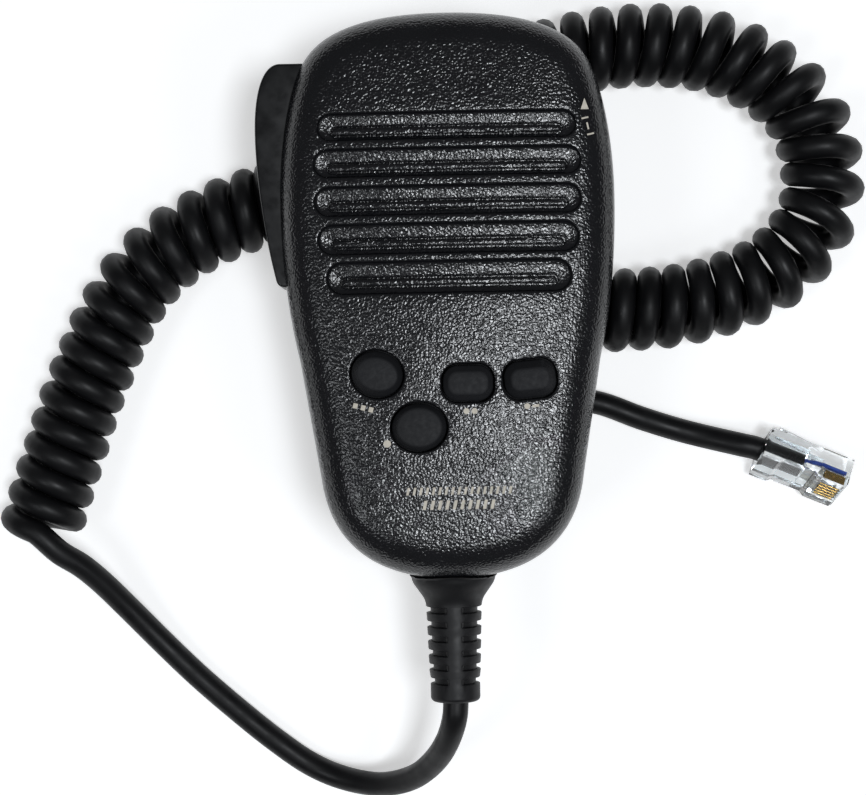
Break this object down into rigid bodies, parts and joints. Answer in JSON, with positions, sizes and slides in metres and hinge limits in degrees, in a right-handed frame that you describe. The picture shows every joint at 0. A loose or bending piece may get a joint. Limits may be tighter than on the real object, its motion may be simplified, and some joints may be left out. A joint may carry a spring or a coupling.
{
  "type": "hand microphone",
  "caption": "Black hand microphone with a ribbed grille, thumb keys, a side push-to-talk lever and a curly cord that ends in a clear modular plug.",
  "frame": {"origin": "centre of the microphone's own bounding box (casing, lever, keys and hanger stud), without the cord and what is on it", "axes": "+Y towards the top of the microphone, away from the strain relief; +Z out of the front face; +X to the right as the front is seen, so the push-to-talk lever is on -X"},
  "size_m": [0.1765, 0.1595, 0.045],
  "materials": {
    "casing": "black ABS with a fine spark-eroded grain and a soft sheen",
    "lever": "smooth satin black moulding",
    "key_rubber": "matte dark grey rubber",
    "relief_rubber": "matte black elastomer",
    "cord_jacket": "matte black cord jacket",
    "clear_plug": "clear polycarbonate",
    "gold_contact": "gold-plated contact blades",
    "steel": "plated steel",
    "spring_steel": "bright spring steel",
    "circuit_board": "green solder mask",
    "black_moulding": "black component moulding",
    "white_moulding": "off-white nylon",
    "capsule_can": "drawn aluminium can",
    "boot_rubber": "soft black rubber",
    "screen_cloth": "fine black dust cloth"
  },
  "bodies": {
    "casing": {"front_shell": "casing", "rear_cover": "casing", "ptt_pin": "steel", "ptt_spring": "spring_steel", "ptt_switch": "black_moulding", "key_dome_1": "spring_steel", "key_dome_2": "spring_steel", "key_dome_3": "spring_steel", "key_dome_4": "spring_steel", "up_switch": "black_moulding", "down_switch": "black_moulding", "lock_switch": "black_moulding", "main_board": "circuit_board", "wire_header": "white_moulding", "preamp_chip": "black_moulding", "capacitor_1": "black_moulding", "capacitor_2": "black_moulding", "mic_capsule": "capsule_can", "capsule_boot": "boot_rubber", "dust_screen": "screen_cloth", "rear_screw_1": "steel", "rear_screw_2": "steel", "rear_screw_3": "steel", "rear_screw_4": "steel", "board_screw_1": "steel", "board_screw_2": "steel", "hanger_stud": "steel", "hanger_screw": "steel", "strain_relief": "relief_rubber", "cord_clamp": "steel", "inner_lead": "cord_jacket", "cord_lead": "cord_jacket", "curly_cord": "cord_jacket", "cord_tail": "cord_jacket", "plug_body": "clear_plug", "plug_contact_1": "gold_contact", "plug_contact_2": "gold_contact", "plug_contact_3": "gold_contact", "plug_contact_4": "gold_contact", "plug_contact_5": "gold_contact", "plug_contact_6": "gold_contact"},
    "ptt_lever": {"ptt_lever": "lever"},
    "ptt_plunger": {"ptt_plunger": "white_moulding"},
    "key_round_upper": {"key_round_upper": "key_rubber"},
    "key_round_lower": {"key_round_lower": "key_rubber"},
    "key_oblong_left": {"key_oblong_left": "key_rubber"},
    "key_oblong_right": {"key_oblong_right": "key_rubber"},
    "up_key": {"up_key": "key_rubber"},
    "down_key": {"down_key": "key_rubber"},
    "lock_slider": {"lock_slider": "lever"},
    "plug_latch": {"plug_latch": "clear_plug"}
  },
  "joints": [
    {"name": "ptt_press", "type": "hinge", "parent": "casing", "child": "ptt_lever", "pos_m": [-0.02538, 0.0051, 0.002], "axis": [0, 0, -1], "range_deg": [0, 4], "stiffness_Nm_per_rad": 0.4, "springref_deg": -5.73},
    {"name": "ptt_plunger_slide", "type": "slide", "parent": "casing", "child": "ptt_plunger", "axis": [1, 0, 0], "range_m": [0, 0.001]},
    {"name": "key_round_upper_press", "type": "slide", "parent": "casing", "child": "key_round_upper", "axis": [0, 0, -1], "range_m": [0, 0.0008], "stiffness_N_per_m": 1500, "springref_m": -0.0004},
    {"name": "key_round_lower_press", "type": "slide", "parent": "casing", "child": "key_round_lower", "axis": [0, 0, -1], "range_m": [0, 0.0008], "stiffness_N_per_m": 1500, "springref_m": -0.0004},
    {"name": "key_oblong_left_press", "type": "slide", "parent": "casing", "child": "key_oblong_left", "axis": [0, 0, -1], "range_m": [0, 0.0008], "stiffness_N_per_m": 1500, "springref_m": -0.0004},
    {"name": "key_oblong_right_press", "type": "slide", "parent": "casing", "child": "key_oblong_right", "axis": [0, 0, -1], "range_m": [0, 0.0008], "stiffness_N_per_m": 1500, "springref_m": -0.0004},
    {"name": "up_key_press", "type": "slide", "parent": "casing", "child": "up_key", "axis": [0, -1, 0], "range_m": [0, 0.0006], "stiffness_N_per_m": 1800, "springref_m": -0.0004},
    {"name": "down_key_press", "type": "slide", "parent": "casing", "child": "down_key", "axis": [0, -1, 0], "range_m": [0, 0.0006], "stiffness_N_per_m": 1800, "springref_m": -0.0004},
    {"name": "lock_slide", "type": "slide", "parent": "casing", "child": "lock_slider", "axis": [0, 1, 0], "range_m": [0, 0.003]},
    {"name": "latch_squeeze", "type": "hinge", "parent": "casing", "child": "plug_latch", "pos_m": [0.0825, -0.03491, -0.0246], "axis": [0.1954, 0.4603, 0.866], "range_deg": [0, 5], "stiffness_Nm_per_rad": 0.15, "springref_deg": -1.15}
  ],
  "couplings": [
    {"joint": "ptt_plunger_slide", "follows": "ptt_press", "m_per_rad": 0.0135}
  ]
}
